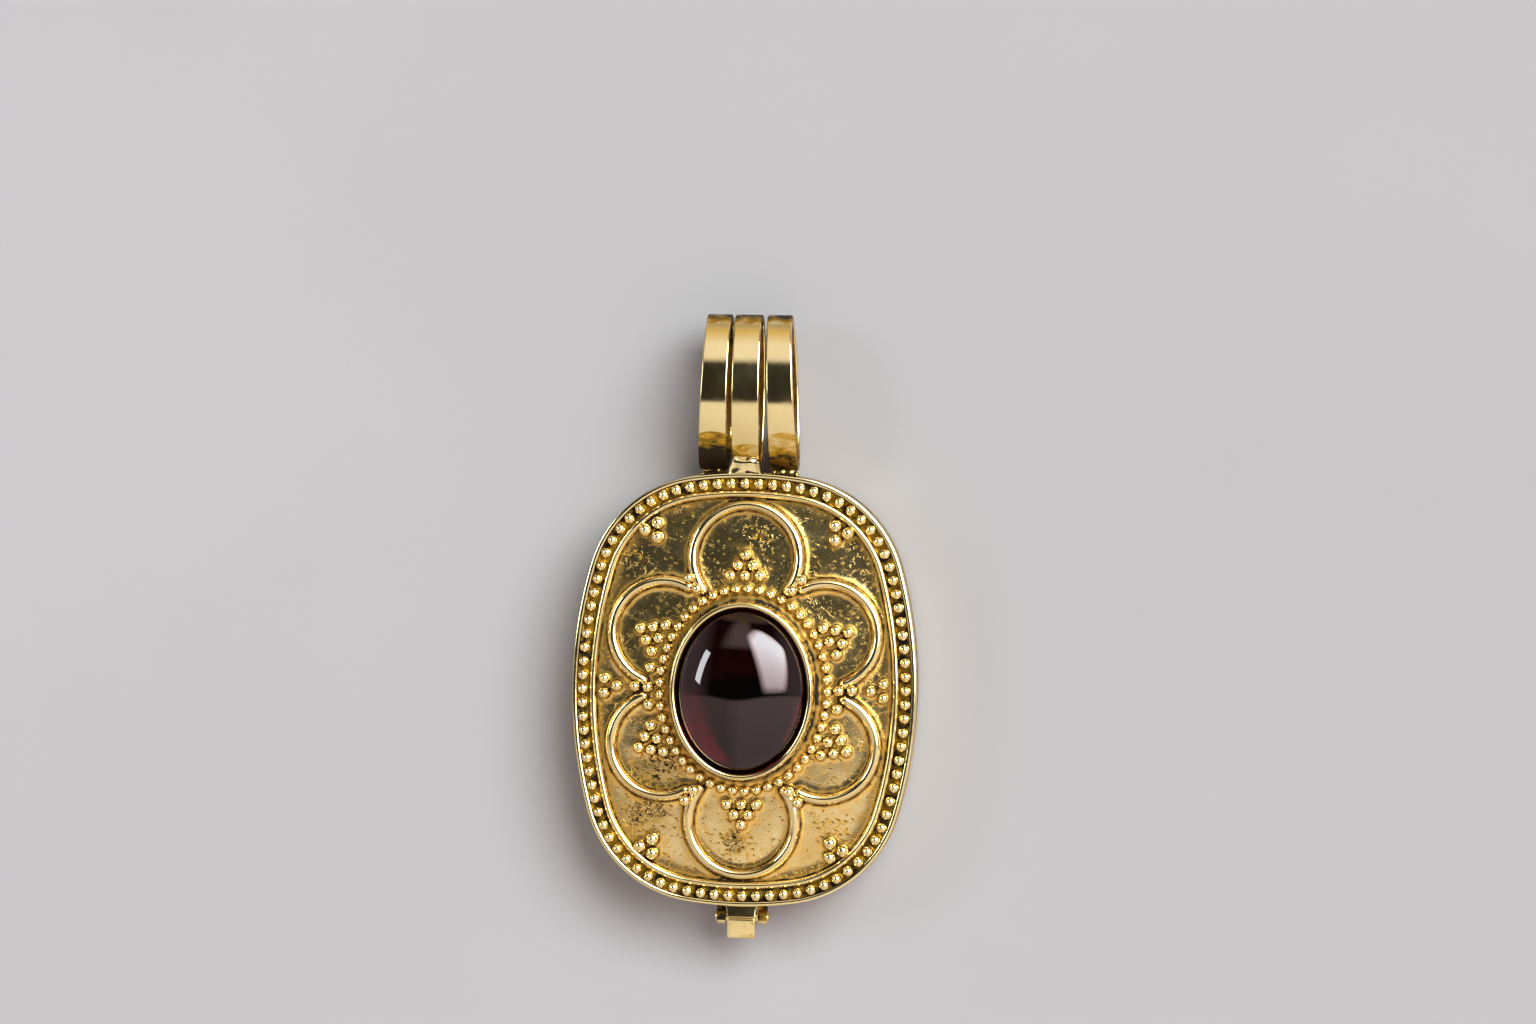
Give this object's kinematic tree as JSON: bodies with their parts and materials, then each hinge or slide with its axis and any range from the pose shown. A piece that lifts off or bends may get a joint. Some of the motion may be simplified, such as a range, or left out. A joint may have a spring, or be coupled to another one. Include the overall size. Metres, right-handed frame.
{
  "type": "locket pendant",
  "caption": "Oval cushion-shaped hinged locket pendant with a domed oval stone, granulated front and a bail of flat strip loops.",
  "frame": {"origin": "centre of the flat back face, on the surface that the pendant lies on", "axes": "+Z out of the face, +Y towards the bail, +X across to the right of the face"},
  "size_m": [0.0204, 0.0369, 0.0074],
  "materials": {
    "gold_case": "polished gilt",
    "gold_cover": "antiqued gilt, etched field, polished wires",
    "gold_granules": "polished gilt",
    "garnet": "polished dark garnet"
  },
  "bodies": {
    "back": {"back_case": "gold_case", "hinge_pin": "gold_case"},
    "cover": {"front_cover": "gold_cover", "garnet_cabochon": "garnet", "border_granules": "gold_granules", "ring_granules": "gold_granules", "petal_granules": "gold_granules", "field_granules": "gold_granules"}
  },
  "joints": [
    {"name": "cover_hinge", "type": "hinge", "parent": "back", "child": "cover", "pos_m": [0, -0.01352, 0.00243], "axis": [1, 0, 0], "range_deg": [0, 120]}
  ]
}
